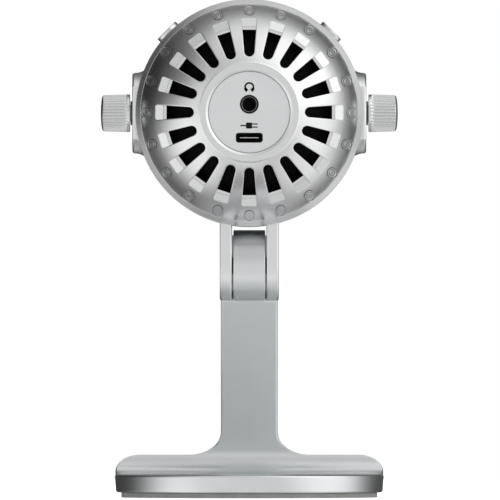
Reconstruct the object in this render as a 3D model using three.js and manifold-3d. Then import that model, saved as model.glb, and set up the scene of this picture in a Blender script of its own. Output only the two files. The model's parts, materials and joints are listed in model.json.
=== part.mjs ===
// Desktop microphone: a round head with a slotted rear dome, side knobs and top buttons, tilting on a
// friction hinge at the top of a leaning stand bent from one thick plate.
// Millimetres, +Z up, +Y towards the person who speaks, -Y towards the sockets on the back.
// The origin is the middle of the footprint, on the surface that the foot pad stands on.
import * as THREE from "three";
import { mergeVertices } from "three/addons/utils/BufferGeometryUtils.js";
import Module from "manifold-3d";

const wasm = await Module();
wasm.setup();

const DEG = Math.PI / 180;

// ---------------------------------------------------------------- driving dimensions
const PLATE = { thick: 6.2, halfWidth: 47.3, near: -47.3, far: 47.3, nearRadius: 47.3, innerBend: 7 };
const FOOT = { thick: 1.8, inset: 2.3, farY: 33.5, corner: 5 };
const ARM = { halfWidth: 10, shoulderTop: 14.9, shoulderCorner: 8, rootFillet: 11 };
const HINGE = { z: 81.6, radius: 12.4, boltRadius: 3, seatGap: 0.3 };
const KNUCKLE = { halfWidth: 5.6, bore: 4.4 };
const EAR = { inner: 6.05, outer: 10.35, pocketRadius: 5.3, pocketDepth: 2.6 };
const HEAD = { z: 135.1, rim: 40, bandOuter: 39.6, bandInner: 36.6, halfBand: 12.4 };
const DOME = { radius: 40.4, edge: 37.9, edgeY: -14, wall: 4.8, hubOuter: 17.5, hubBore: 14.1, ledge: 12.4 };
const SLOT = { count: 20, inner: 19.7, outer: 33, innerHalf: 1.65, outerHalf: 2.55 };
const PIN = { ring: 36.1, radius: 1.5, bore: 1.7, face: -18.3, boreFloor: -17.9, root: -14 };
const BOSS = { face: 41.1, radius: 14.5, root: 34, rootRadius: 18.5, cheek: 11.55, bore: 4.4 };
const KNOB = { start: 41.9, end: 52.2, radius: 6.6, tipRadius: 6.35, flutes: 34, fluteDepth: 0.28, collar: 1.2 };
const BUTTON = { angle: 45 * DEG, radius: 4.45, top: 41.2, foot: 35.2, bore: 4.65 };
const PORT = { face: -36.9, thick: 1.5, radius: 13.85, jackZ: 3.1, usbZ: -8.5, board: -29.6 };

// ---------------------------------------------------------------- materials
const finish = (color, roughness, metalness) => new THREE.MeshStandardMaterial({ color, roughness, metalness });
const FINISH = {
  satinAluminium: finish(0xc9cccd, 0.32, 1),
  brightAluminium: finish(0xd2d4d4, 0.24, 1),
  portPlate: finish(0xcdcfcf, 0.5, 0.4),
  steel: finish(0x9a9c9e, 0.3, 1),
  bronze: finish(0xa87a45, 0.4, 1),
  blackPlastic: finish(0x161616, 0.5, 0),
  greyPlastic: finish(0x3a3c3e, 0.6, 0),
  nylon: finish(0x2c2e2f, 0.6, 0),
  rubber: finish(0x555857, 0.85, 0),
  blackMesh: finish(0x101010, 0.8, 0.2),
  foam: finish(0x1a1a1a, 1, 0),
  board: finish(0x1d5a36, 0.5, 0.1),
  brass: finish(0xc6a355, 0.3, 1),
  gold: finish(0xe0bf62, 0.2, 1),
};

// ---------------------------------------------------------------- solid helpers
function toSolid(geometry) {
  const bare = (geometry.index ? geometry.toNonIndexed() : geometry).clone();
  for (const name of Object.keys(bare.attributes)) {
    if (name !== "position") bare.deleteAttribute(name);
  }
  const merged = mergeVertices(bare, 1e-4);
  return new wasm.Manifold(
    new wasm.Mesh({
      numProp: 3,
      vertProperties: new Float32Array(merged.attributes.position.array),
      triVerts: new Uint32Array(merged.index.array),
    }),
  );
}

function toGeometry(solid) {
  const mesh = solid.getMesh();
  const position = new Float32Array(mesh.numVert * 3);
  for (let i = 0; i < mesh.numVert; i++) {
    position.set(mesh.vertProperties.subarray(i * mesh.numProp, i * mesh.numProp + 3), i * 3);
  }
  const geometry = new THREE.BufferGeometry();
  geometry.setAttribute("position", new THREE.BufferAttribute(position, 3));
  geometry.setIndex(new THREE.BufferAttribute(mesh.triVerts, 1));
  geometry.computeVertexNormals();
  return geometry;
}

// Revolves [radius, y] points about the Y axis. The outline may run either way round.
function revolve(points, segments = 48) {
  let area = 0;
  points.forEach(([r, y], i) => {
    const [nextR, nextY] = points[(i + 1) % points.length];
    area += r * nextY - nextR * y;
  });
  const ordered = area < 0 ? [...points].reverse() : [...points];
  const onAxis = ordered.some(([r]) => r === 0);
  if (onAxis) {
    while (!(ordered[0][0] === 0 && ordered[ordered.length - 1][0] === 0)) ordered.push(ordered.shift());
  } else {
    ordered.push(ordered[0]);
  }
  return toSolid(new THREE.LatheGeometry(ordered.map(([r, y]) => new THREE.Vector2(r, y)), segments));
}

const Y_TO_X = new THREE.Matrix4().makeRotationZ(-Math.PI / 2);

// The same profile revolved about the X axis: points are [radius, x].
const revolveX = (points, segments) => moved(revolve(points, segments), Y_TO_X);

function moved(solid, matrix) {
  return toSolid(toGeometry(solid).applyMatrix4(matrix));
}

// Extrudes a shape drawn in (y, z) from x = from to x = to.
function alongX(shape, from, to, curveSegments = 24) {
  const geometry = new THREE.ExtrudeGeometry(shape, { depth: to - from, bevelEnabled: false, curveSegments });
  const axes = new THREE.Matrix4().makeBasis(
    new THREE.Vector3(0, 1, 0),
    new THREE.Vector3(0, 0, 1),
    new THREE.Vector3(1, 0, 0),
  );
  return toSolid(geometry.applyMatrix4(axes).translate(from, 0, 0));
}

// Extrudes a shape drawn in (x, z) from y = from to y = to.
function alongY(shape, from, to, curveSegments = 24) {
  const geometry = new THREE.ExtrudeGeometry(shape, { depth: to - from, bevelEnabled: false, curveSegments });
  const axes = new THREE.Matrix4().makeBasis(
    new THREE.Vector3(1, 0, 0),
    new THREE.Vector3(0, 0, 1),
    new THREE.Vector3(0, -1, 0),
  );
  return toSolid(geometry.applyMatrix4(axes).translate(0, to, 0));
}

// Extrudes a shape drawn in (x, y) from z = from to z = to.
function alongZ(shape, from, to, curveSegments = 24) {
  const geometry = new THREE.ExtrudeGeometry(shape, { depth: to - from, bevelEnabled: false, curveSegments });
  return toSolid(geometry.translate(0, 0, from));
}

const box = (x0, x1, y0, y1, z0, z1) =>
  toSolid(
    new THREE.BoxGeometry(x1 - x0, y1 - y0, z1 - z0).translate((x0 + x1) / 2, (y0 + y1) / 2, (z0 + z1) / 2),
  );

const tube = (inner, outer, from, to, segments) =>
  revolve([[inner, from], [outer, from], [outer, to], [inner, to]], segments);

const rod = (radius, from, to, segments) => revolve([[0, from], [radius, from], [radius, to], [0, to]], segments);

// Points on the arc of a sphere centred at (0, centreY), from radius r0 to radius r1 off the axis.
// side is -1 for the half towards the back, +1 for the half towards the front.
function sphereArc(centreY, sphere, r0, r1, steps, side) {
  const from = Math.asin(r0 / sphere);
  const to = Math.asin(r1 / sphere);
  return Array.from({ length: steps + 1 }, (_, i) => {
    const angle = from + ((to - from) * i) / steps;
    const r = i === 0 ? r0 : sphere * Math.sin(angle);
    return [r, centreY + side * sphere * Math.cos(angle)];
  });
}

function roundedRectangle(halfWidth, halfHeight, corner) {
  const shape = new THREE.Shape();
  shape.absarc(halfWidth - corner, halfHeight - corner, corner, 0, Math.PI / 2);
  shape.absarc(corner - halfWidth, halfHeight - corner, corner, Math.PI / 2, Math.PI);
  shape.absarc(corner - halfWidth, corner - halfHeight, corner, Math.PI, 1.5 * Math.PI);
  shape.absarc(halfWidth - corner, corner - halfHeight, corner, 1.5 * Math.PI, 2 * Math.PI);
  return shape;
}

const microphone = new THREE.Group();
const stand = new THREE.Group();
const head = new THREE.Group();
head.position.set(0, 0, HEAD.z);
microphone.add(stand, head);

function addPiece(group, name, solid, material) {
  const mesh = new THREE.Mesh(toGeometry(solid), material);
  mesh.name = name;
  group.add(mesh);
  return mesh;
}

// ---------------------------------------------------------------- stand: plate, foot pad
const bendOuter = PLATE.innerBend + PLATE.thick;
const bendCentre = new THREE.Vector2(PLATE.far - bendOuter, FOOT.thick + bendOuter);
const hingePoint = new THREE.Vector2(0, HINGE.z);
// The arm's mid-plane runs from the hinge to a tangent on the bend's mid-line, and that fixes its lean.
const toBend = new THREE.Vector2().subVectors(bendCentre, hingePoint);
const armLean =
  Math.atan2(toBend.x, -toBend.y) + Math.asin((PLATE.innerBend + PLATE.thick / 2) / toBend.length());
const armOut = new THREE.Vector2(Math.cos(armLean), Math.sin(armLean));

// Plan of the plate: a half round towards the back, straight sides, straight far edge.
function planOutline(inset, farY, corner) {
  const half = PLATE.halfWidth - inset;
  const radius = PLATE.nearRadius - inset;
  const centreY = PLATE.near + PLATE.nearRadius;
  const swing = Math.asin(half / radius);
  const shape = new THREE.Shape();
  shape.absarc(0, centreY, radius, -Math.PI / 2 - swing, -Math.PI / 2 + swing);
  shape.lineTo(half, farY - corner);
  if (corner > 0) shape.absarc(half - corner, farY - corner, corner, 0, Math.PI / 2);
  else shape.lineTo(half, farY);
  if (corner > 0) shape.absarc(corner - half, farY - corner, corner, Math.PI / 2, Math.PI);
  else shape.lineTo(-half, farY);
  return shape;
}

// Section of the bent plate in (y, z): flat foot, bend, leaning arm that ends at the hinge.
function plateSection() {
  const half = armOut.clone().multiplyScalar(PLATE.thick / 2);
  const shape = new THREE.Shape();
  shape.moveTo(PLATE.near - 1, FOOT.thick);
  shape.lineTo(bendCentre.x, FOOT.thick);
  shape.absarc(bendCentre.x, bendCentre.y, bendOuter, -Math.PI / 2, armLean);
  shape.lineTo(hingePoint.x + half.x, hingePoint.y + half.y);
  shape.lineTo(hingePoint.x - half.x, hingePoint.y - half.y);
  shape.absarc(bendCentre.x, bendCentre.y, PLATE.innerBend, armLean, -Math.PI / 2, true);
  shape.lineTo(PLATE.near - 1, FOOT.thick + PLATE.thick);
  return shape;
}

// Outline of the stand from behind, in (x, z): wide foot with round corners, fillets, narrow arm.
function rearOutline() {
  const { halfWidth, shoulderTop, shoulderCorner, rootFillet } = ARM;
  const wide = PLATE.halfWidth;
  const shape = new THREE.Shape();
  shape.moveTo(-wide, FOOT.thick);
  shape.lineTo(wide, FOOT.thick);
  shape.absarc(wide - shoulderCorner, shoulderTop - shoulderCorner, shoulderCorner, 0, Math.PI / 2);
  const filletX = halfWidth + rootFillet;
  const filletZ = shoulderTop + rootFillet;
  shape.absarc(filletX, filletZ, rootFillet, -Math.PI / 2, -Math.PI, true);
  shape.lineTo(halfWidth, HINGE.z);
  shape.lineTo(-halfWidth, HINGE.z);
  shape.absarc(-filletX, filletZ, rootFillet, 0, -Math.PI / 2, true);
  shape.absarc(shoulderCorner - wide, shoulderTop - shoulderCorner, shoulderCorner, Math.PI / 2, Math.PI);
  return shape;
}

const atHinge = new THREE.Matrix4().makeTranslation(0, hingePoint.x, hingePoint.y);

function standFrame() {
  const bent = alongX(plateSection(), -PLATE.halfWidth - 1, PLATE.halfWidth + 1, 12);
  const silhouette = alongY(rearOutline(), PLATE.near - 2, PLATE.far + 2, 10);
  const plan = alongZ(planOutline(0, PLATE.far + 3, 0), 0, HEAD.z, 30);
  const barrel = moved(
    revolveX([[0, -KNUCKLE.halfWidth], [HINGE.radius, -KNUCKLE.halfWidth],
      [HINGE.radius, KNUCKLE.halfWidth], [0, KNUCKLE.halfWidth]], 48),
    atHinge,
  );
  const seatRadius = HINGE.radius + HINGE.seatGap;
  const earSeat = (from, to) =>
    moved(revolveX([[0, from], [seatRadius, from], [seatRadius, to], [0, to]], 48), atHinge);
  const bore = moved(revolveX([[0, -9], [KNUCKLE.bore, -9], [KNUCKLE.bore, 9], [0, 9]], 24), atHinge);
  return bent
    .intersect(silhouette)
    .intersect(plan)
    .subtract(earSeat(KNUCKLE.halfWidth, PLATE.halfWidth))
    .subtract(earSeat(-PLATE.halfWidth, -KNUCKLE.halfWidth))
    .add(barrel)
    .subtract(bore);
}

addPiece(stand, "stand_frame", standFrame(), FINISH.satinAluminium);
addPiece(stand, "foot_pad", alongZ(planOutline(FOOT.inset, FOOT.farY, FOOT.corner), 0, FOOT.thick, 10),
  FINISH.rubber);

// ---------------------------------------------------------------- hinge
const tubeX = (inner, outer, from, to, segments = 24) =>
  revolveX([[inner, from], [outer, from], [outer, to], [inner, to]], segments);
const rodX = (radius, from, to, segments = 24) =>
  revolveX([[0, from], [radius, from], [radius, to], [0, to]], segments);

function addHinge() {
  const hinge = new THREE.Group();
  hinge.position.set(0, hingePoint.x, hingePoint.y);
  stand.add(hinge);
  const pocket = EAR.outer - EAR.pocketDepth;
  const headThick = 1.5;
  const washerThick = 0.33;
  const washerStart = KNUCKLE.halfWidth + 0.06;
  const boltEnd = EAR.outer - 1.05;
  const springThick = 0.35;
  addPiece(hinge, "hinge_sleeve", tubeX(HINGE.boltRadius + 0.15, KNUCKLE.bore - 0.2,
    -KNUCKLE.halfWidth, KNUCKLE.halfWidth), FINISH.bronze);
  const boltHead = rodX(4.4, -pocket - 0.15 - headThick, -pocket - 0.15);
  const socket = alongX(new THREE.Shape(hexagon(1.5)), -pocket - 0.2 - headThick, -pocket - 0.65, 6);
  addPiece(hinge, "hinge_bolt", rodX(HINGE.boltRadius, -pocket - 0.2, boltEnd).add(boltHead).subtract(socket),
    FINISH.steel);
  addPiece(hinge, "spring_washer", tubeX(HINGE.boltRadius + 0.2, 4.8, pocket + 0.1, pocket + 0.1 + springThick),
    FINISH.steel);
  const nutStart = pocket + springThick + 0.2;
  const nut = alongX(new THREE.Shape(hexagon(4.6)), nutStart, boltEnd - 0.1, 6)
    .subtract(rodX(HINGE.boltRadius + 0.15, nutStart - 1, boltEnd + 1));
  addPiece(hinge, "hinge_nut", nut, FINISH.steel);
  for (const [side, sign] of [["left", -1], ["right", 1]]) {
    const span = (near, far) => (sign > 0 ? [near, far] : [-far, -near]);
    addPiece(hinge, `friction_washer_${side}`,
      tubeX(HINGE.boltRadius + 0.2, 10.6, ...span(washerStart, washerStart + washerThick), 24), FINISH.nylon);
    addPiece(hinge, `hinge_cap_${side}`, rodX(EAR.pocketRadius - 0.15, ...span(EAR.outer - 0.85, EAR.outer)),
      FINISH.satinAluminium);
  }
}

function hexagon(acrossCorners) {
  return Array.from({ length: 6 }, (_, i) => {
    const angle = (i * Math.PI) / 3;
    return new THREE.Vector2(acrossCorners * Math.cos(angle), acrossCorners * Math.sin(angle));
  });
}

addHinge();

// ---------------------------------------------------------------- head: band with knob bosses and ears
// The chassis is held by three lugs inside the band.
const LUG = { angles: [90, 215, 325], ring: 33.2, halfWidth: 3, inner: 31, from: -5.2, to: -1.2, hole: 1.1 };
const spin = (angle) => new THREE.Matrix4().makeRotationY(-angle);

function bodyBand() {
  const { halfBand, bandOuter, bandInner } = HEAD;
  const edge = 0.5;
  const ring = [[bandInner, -halfBand], [bandOuter - edge, -halfBand], [bandOuter, edge - halfBand],
    [bandOuter, halfBand - edge], [bandOuter - edge, halfBand], [bandInner, halfBand]];
  // A round pad that flares in a hollow curve down to the band, cut flush with both sides of the band.
  const flare = [[0, BOSS.root], [BOSS.rootRadius, BOSS.root], [16.2, 36.3], [15, 38.2],
    [BOSS.radius, 40.4], [BOSS.radius - 0.4, BOSS.face], [0, BOSS.face]];
  const cheeks = box(-60, 60, -BOSS.cheek, BOSS.cheek, -30, 30);
  const pads = [1, -1].map((sign) =>
    moved(revolveX(flare, 32), new THREE.Matrix4().makeRotationZ(sign > 0 ? 0 : Math.PI)).intersect(cheeks),
  );
  const earShape = new THREE.Shape();
  const drop = HEAD.z - HINGE.z;
  earShape.absarc(0, -drop, HINGE.radius, Math.PI, 2 * Math.PI);
  earShape.lineTo(halfBand, -bandInner + 2);
  earShape.lineTo(-halfBand, -bandInner + 2);
  const ears = [[EAR.inner, EAR.outer], [-EAR.outer, -EAR.inner]].map(([a, b]) => alongX(earShape, a, b, 16));
  const inside = rod(bandInner, -20, 20, 48);
  let solid = revolve(ring, 48);
  for (const extra of [...pads, ...ears]) solid = solid.add(extra);
  solid = solid.subtract(inside);
  for (const angle of LUG.angles) {
    const lug = box(LUG.inner, bandInner + 1.5, LUG.from, LUG.to, -LUG.halfWidth, LUG.halfWidth)
      .subtract(moved(rod(LUG.hole, -8, 4, 12), new THREE.Matrix4().makeTranslation(LUG.ring, 0, 0)));
    solid = solid.add(moved(lug, spin(angle * DEG)));
  }
  solid = solid.subtract(rodX(BOSS.bore, -60, 60, 16));
  for (const angle of [BUTTON.angle, Math.PI - BUTTON.angle]) {
    solid = solid.subtract(moved(rodX(BUTTON.bore, 30, 50, 16), spin(angle)));
  }
  const pinLine = new THREE.Matrix4().makeTranslation(0, 0, -drop);
  const pocket = EAR.outer - EAR.pocketDepth;
  return solid
    .subtract(moved(rodX(HINGE.boltRadius + 0.15, -20, 20), pinLine))
    .subtract(moved(rodX(EAR.pocketRadius, pocket, 20), pinLine))
    .subtract(moved(rodX(EAR.pocketRadius, -20, -pocket), pinLine));
}

addPiece(head, "body_band", bodyBand(), FINISH.satinAluminium);

// ---------------------------------------------------------------- head: slotted rear dome
// Every slot runs through the thick wall square to the surface, so its outer end shows as a slanted facet.
// A flat-ended pin stands in a bore outside each slot: sunk on its inner side, proud on its outer side.
const domeCentreY = DOME.edgeY + Math.sqrt(DOME.radius ** 2 - DOME.edge ** 2);

function slotCutter() {
  const { inner, outer, innerHalf, outerHalf } = SLOT;
  const shape = new THREE.Shape();
  const side = new THREE.Shape();
  const outerEnd = (sphere) => {
    const share = sphere / DOME.radius;
    return [outer * share, domeCentreY - Math.sqrt(DOME.radius ** 2 - outer ** 2) * share];
  };
  side.moveTo(inner - 2, -50);
  side.lineTo(inner - 2, -8);
  side.lineTo(...outerEnd(DOME.radius - DOME.wall - 3));
  side.lineTo(...outerEnd(DOME.radius + 6));
  const roundCentre = inner + innerHalf;
  shape.moveTo(roundCentre, innerHalf);
  shape.absarc(roundCentre, 0, innerHalf, Math.PI / 2, 1.5 * Math.PI);
  shape.lineTo(outer + 6, -outerHalf);
  shape.lineTo(outer + 6, outerHalf);
  return alongY(shape, -50, -8, 3).intersect(alongZ(side, -9, 9, 1));
}

function rearDome() {
  const inner = DOME.radius - DOME.wall;
  const seam = -HEAD.halfBand - 0.2;
  const rimInner = Math.sqrt(inner ** 2 - (domeCentreY - seam) ** 2);
  const profile = [
    [HEAD.rim, seam],
    [HEAD.rim, DOME.edgeY - 0.2],
    [39.4, DOME.edgeY - 1],
    [38.3, DOME.edgeY - 1.1],
    ...sphereArc(domeCentreY, DOME.radius, DOME.edge, DOME.hubOuter, 5, -1),
    [DOME.hubOuter - 0.3, PORT.face - 0.5],
    [DOME.hubBore + 1.4, PORT.face - 0.5],
    [DOME.hubBore, PORT.face],
    [DOME.hubBore, PORT.face + PORT.thick + 0.1],
    [DOME.ledge, PORT.face + PORT.thick + 0.1],
    ...sphereArc(domeCentreY, inner, DOME.ledge, rimInner, 5, -1),
  ];
  let solid = revolve(profile, 40);
  const slot = slotCutter();
  const atPin = new THREE.Matrix4().makeTranslation(PIN.ring, 0, 0);
  const bore = moved(rod(PIN.bore, -HEAD.rim, PIN.boreFloor, 10), atPin);
  const pin = moved(rod(PIN.radius, PIN.face, PIN.root, 10), atPin);
  for (let i = 0; i < SLOT.count; i++) {
    const turn = spin((2 * Math.PI * i) / SLOT.count);
    solid = solid.subtract(moved(slot, turn)).subtract(moved(bore, turn)).add(moved(pin, turn));
  }
  return solid;
}

addPiece(head, "rear_dome", rearDome(), FINISH.satinAluminium);

// Black acoustic mesh, bonded behind the slots.
addPiece(head, "rear_mesh", revolve([
  ...sphereArc(domeCentreY, DOME.radius - DOME.wall - 0.35, 15.5, 30.2, 3, -1),
  ...sphereArc(domeCentreY, DOME.radius - DOME.wall - 0.95, 15.5, 29.8, 3, -1).reverse(),
], 40), FINISH.blackMesh);

// ---------------------------------------------------------------- head: sockets on the back
function addSockets() {
  const back = PORT.face + PORT.thick;
  const usbHole = roundedRectangle(4.75, 1.7, 1.3);
  const at = (z) => new THREE.Matrix4().makeTranslation(0, 0, z);
  const plate = rod(PORT.radius, PORT.face, back, 48)
    .subtract(moved(alongY(usbHole, PORT.face - 1, back + 1, 4), at(PORT.usbZ)))
    .subtract(moved(rod(3.4, PORT.face - 1, back + 1, 24), at(PORT.jackZ)));
  addPiece(head, "port_plate", plate, FINISH.portPlate);

  const shellOutline = roundedRectangle(4.47, 1.63, 1.2);
  const shellBore = roundedRectangle(4.17, 1.33, 1);
  const shell = alongY(shellOutline, PORT.face + 0.3, PORT.board - 0.3, 4).subtract(alongY(shellBore, PORT.face - 1, 0, 4));
  addPiece(head, "usb_shell", moved(shell, at(PORT.usbZ)), FINISH.steel);
  const insert = box(-3.35, 3.35, PORT.face + 1, PORT.board - 1.6, -0.35, 0.35)
    .add(alongY(roundedRectangle(3.9, 1.06, 0.8), PORT.board - 2.1, PORT.board - 0.4, 4));
  addPiece(head, "usb_tongue", moved(insert, at(PORT.usbZ)), FINISH.blackPlastic);

  const jackBore = rod(1.8, PORT.face - 1, 0, 20);
  const bush = revolve([[1.8, PORT.face + 0.6], [2.5, PORT.face - 0.15], [3.2, PORT.face - 0.15],
    [3.2, back + 0.4], [1.8, back + 0.4]], 24);
  addPiece(head, "jack_bush", moved(bush, at(PORT.jackZ)), FINISH.blackPlastic);
  const socket = box(-3.6, 3.6, back + 0.6, PORT.board - 0.3, -3.4, 3.4).subtract(jackBore);
  addPiece(head, "jack_socket", moved(socket, at(PORT.jackZ)), FINISH.blackPlastic);

  const board = alongY(roundedRectangle(8.2, 12, 2), PORT.board, PORT.board + 1.2, 4);
  addPiece(head, "socket_board", board, FINISH.board);
}

addSockets();

// ---------------------------------------------------------------- head: front rim, mesh and foam
const frontCentreY = -domeCentreY;

function frontRim() {
  const seam = HEAD.halfBand + 0.2;
  return revolve([
    [34.8, seam], [HEAD.rim, seam], [HEAD.rim, 0.2 - DOME.edgeY], [39.4, 1 - DOME.edgeY],
    [38.3, 1.1 - DOME.edgeY], [37.2, 0.8 - DOME.edgeY], [37.2, seam + 0.9], [34.8, seam + 0.9],
  ], 48);
}

function shellCap(outerSphere, thick, edgeRadius, steps, segments) {
  const inner = outerSphere - thick;
  const innerEdge = (edgeRadius * inner) / outerSphere;
  return revolve([
    ...sphereArc(frontCentreY, outerSphere, 0, edgeRadius, steps, 1),
    ...sphereArc(frontCentreY, inner, innerEdge, 0, steps, 1),
  ].map(([r, y]) => [Math.abs(r) < 1e-6 ? 0 : r, y]), segments);
}

addPiece(head, "front_rim", frontRim(), FINISH.satinAluminium);
addPiece(head, "front_mesh", shellCap(DOME.radius - 0.4, 0.8, 36.5, 5, 36), FINISH.steel);
addPiece(head, "front_foam", shellCap(DOME.radius - 1.9, 3.5, 33.8, 4, 28), FINISH.foam);

// ---------------------------------------------------------------- head: chassis, board and capsule
function addChassis() {
  const hub = tube(7, 25, -1, 1, 24);
  let chassis = hub;
  for (const angle of LUG.angles) {
    const arm = box(20, 36, -1, 1, -LUG.halfWidth, LUG.halfWidth)
      .subtract(moved(rod(1.4, -3, 3, 12), new THREE.Matrix4().makeTranslation(LUG.ring, 0, 0)));
    const post = moved(rod(2.4, -5.1, 0, 12), new THREE.Matrix4().makeTranslation(19, 0, 0));
    chassis = chassis.add(moved(arm, spin(angle * DEG))).add(moved(post, spin(angle * DEG)));
  }
  addPiece(head, "chassis", chassis, FINISH.greyPlastic);
  LUG.angles.forEach((angle, i) => {
    const screw = rod(0.95, -5, 1.1, 12).add(rod(2, 1.05, 2.2, 12));
    const place = new THREE.Matrix4().makeTranslation(LUG.ring, 0, 0);
    addPiece(head, `chassis_screw_${i + 1}`, moved(moved(screw, place), spin(angle * DEG)), FINISH.steel);
  });
  addPiece(head, "main_board", rod(23.5, -6.9, -5.3, 36), FINISH.board);
}

function addCapsule() {
  const cradle = tube(11.2, 15.4, 1.3, 3, 24)
    .add(tube(13.6, 15.4, 2.9, 12.4, 24))
    .subtract(box(-20, 20, 4.4, 9.6, -4, 4))
    .subtract(box(-4, 4, 4.4, 9.6, -20, 20));
  addPiece(head, "capsule_cradle", cradle, FINISH.greyPlastic);
  addPiece(head, "shock_ring", tube(12.6, 13.45, 10, 17.4, 24).add(tube(13.4, 15.4, 12.6, 14.4, 24)),
    FINISH.rubber);
  addPiece(head, "capsule_body", revolve([[0, 7.2], [12.4, 7.2], [12.4, 16.6], [11.2, 16.6], [11.2, 15.4],
    [0, 15.4]], 24), FINISH.brass);
  addPiece(head, "diaphragm", rod(11, 15.6, 16, 24), FINISH.gold);
}

addChassis();
addCapsule();

// ---------------------------------------------------------------- head: rotary controls and buttons
// A fluted knob about the X axis: smooth collar next to the boss, flutes, then a rounded tip.
function knobSolid() {
  const { start, end, radius, tipRadius, flutes, fluteDepth, collar } = KNOB;
  const turned = revolveX([[0, start], [radius, start], [tipRadius, end - 1.4],
    [tipRadius - 0.7, end - 0.5], [tipRadius - 1.8, end], [0, end]], 34);
  const points = [];
  for (let i = 0; i < flutes; i++) {
    const pitch = (2 * Math.PI) / flutes;
    for (const [share, depth] of [[0, 0], [0.5, fluteDepth]]) {
      const angle = (i + share) * pitch;
      points.push(new THREE.Vector2((radius - depth) * Math.cos(angle), (radius - depth) * Math.sin(angle)));
    }
  }
  const fluted = alongX(new THREE.Shape(points), start + collar, end + 1, 1);
  const collarStock = rodX(radius + 1, start - 1, start + collar + 0.01, 12);
  const shaftHole = rodX(3.1, start - 1, end - 2.4, 16);
  return turned.intersect(fluted.add(collarStock)).subtract(shaftHole);
}

function addRotary(side, sign) {
  const mirror = new THREE.Matrix4().makeRotationZ(sign > 0 ? 0 : Math.PI);
  addPiece(head, `knob_${side}`, moved(knobSolid(), mirror), FINISH.brightAluminium);
  addPiece(head, `shaft_${side}`, moved(rodX(2.9, 30.6, KNOB.end - 2.6, 20), mirror), FINISH.steel);
  const body = box(29, 35.4, -5.6, 5.6, -6.4, 6.4)
    .add(rodX(4.2, 35, KNOB.start - 0.15, 24))
    .subtract(rodX(3.05, 30.4, 60, 20));
  addPiece(head, `control_${side}`, moved(body, mirror), FINISH.steel);
}

// A round cap that slides in the band, with a flange behind the wall, and the switch that it presses.
function addButton(side, angle) {
  const turn = spin(angle);
  const cap = revolveX([[0, BUTTON.foot], [BUTTON.radius + 0.8, BUTTON.foot], [BUTTON.radius + 0.8, BUTTON.foot + 0.8],
    [BUTTON.radius, BUTTON.foot + 0.8], [BUTTON.radius, BUTTON.top - 0.3], [BUTTON.radius - 0.3, BUTTON.top],
    [0, BUTTON.top]], 20);
  addPiece(head, `button_${side}`, moved(cap, turn), FINISH.brightAluminium);
  const body = box(29.6, 32.8, -3, 3, -3, 3).add(rodX(1.6, 32.7, BUTTON.foot - 0.9, 16));
  addPiece(head, `switch_${side}`, moved(body, turn), FINISH.blackPlastic);
}

addRotary("left", -1);
addRotary("right", 1);
addButton("left", Math.PI - BUTTON.angle);
addButton("right", BUTTON.angle);

export default microphone;
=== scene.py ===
"""A desktop microphone seen from the side of its sockets: a metal ball head with a slotted rear dome,
two knobs and two buttons, tilting on a friction hinge at the top of a stand bent from one thick plate.
Metres, +Z up, +X right, and -Y towards the camera."""

import json
import math

import bmesh
import bpy
from mathutils import Matrix, Vector


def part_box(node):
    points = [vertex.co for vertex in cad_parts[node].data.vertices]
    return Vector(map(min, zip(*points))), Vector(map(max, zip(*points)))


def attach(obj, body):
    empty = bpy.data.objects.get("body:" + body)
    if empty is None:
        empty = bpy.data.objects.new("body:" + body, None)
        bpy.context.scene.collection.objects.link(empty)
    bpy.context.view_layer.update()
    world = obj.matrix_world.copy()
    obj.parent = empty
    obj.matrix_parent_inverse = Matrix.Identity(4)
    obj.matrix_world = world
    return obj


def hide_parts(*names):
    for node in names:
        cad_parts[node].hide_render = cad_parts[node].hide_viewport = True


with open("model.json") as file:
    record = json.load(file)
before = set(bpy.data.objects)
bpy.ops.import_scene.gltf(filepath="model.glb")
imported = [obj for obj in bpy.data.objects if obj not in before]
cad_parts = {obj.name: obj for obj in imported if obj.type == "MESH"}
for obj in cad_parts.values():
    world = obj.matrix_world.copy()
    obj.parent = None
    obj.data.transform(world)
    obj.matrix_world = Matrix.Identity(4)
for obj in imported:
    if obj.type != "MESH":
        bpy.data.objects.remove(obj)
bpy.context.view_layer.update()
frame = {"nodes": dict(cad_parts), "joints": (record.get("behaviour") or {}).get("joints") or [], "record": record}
bpy.context.scene.view_settings.view_transform = "Standard"


# ---------------------------------------- stand plate
# One aluminium plate, cut flat to the outline of a wide half-round foot and a narrow arm, then bent once so
# that the arm leans over the foot. Its edges are broken, and it is bead-blasted and clear anodised.

MM = 0.001
HINGE = Vector(next(joint for joint in frame["joints"] if joint["name"] == "head_tilt")["pos_m"])
STAND_LOW, STAND_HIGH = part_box("stand_frame")
PAD_THICK = STAND_LOW.z
PLATE_THICK = 6.2 * MM
PLATE_HALF = STAND_HIGH.x
BEND_INNER = 7 * MM
BEND_MID = BEND_INNER + PLATE_THICK / 2
BEND_Y = STAND_HIGH.y - BEND_INNER - PLATE_THICK
BEND_Z = PAD_THICK + PLATE_THICK + BEND_INNER
ARM_HALF = 10 * MM
KNUCKLE_HALF = 5.6 * MM
KNUCKLE_RADIUS = 12.4 * MM
ROOT_FILLET = 11.3 * MM
SHOULDER_CORNER = 8.4 * MM
ARM_STOP = 12.85 * MM
EDGE_DRAFT = 0.45 * MM

reach = Vector((BEND_Y - HINGE.y, HINGE.z - BEND_Z))
ARM_LEAN = math.atan2(reach.x, reach.y) + math.asin(BEND_MID / reach.length)
ARM_LENGTH = math.sqrt(reach.length**2 - BEND_MID**2)
FOOT_LENGTH = BEND_Y - STAND_LOW.y
SHOULDER_AT = FOOT_LENGTH + BEND_MID * math.pi / 2
HINGE_AT = FOOT_LENGTH + BEND_MID * (math.pi / 2 + ARM_LEAN) + ARM_LENGTH
FILLET_END = SHOULDER_AT + ROOT_FILLET + 20 * MM


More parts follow.
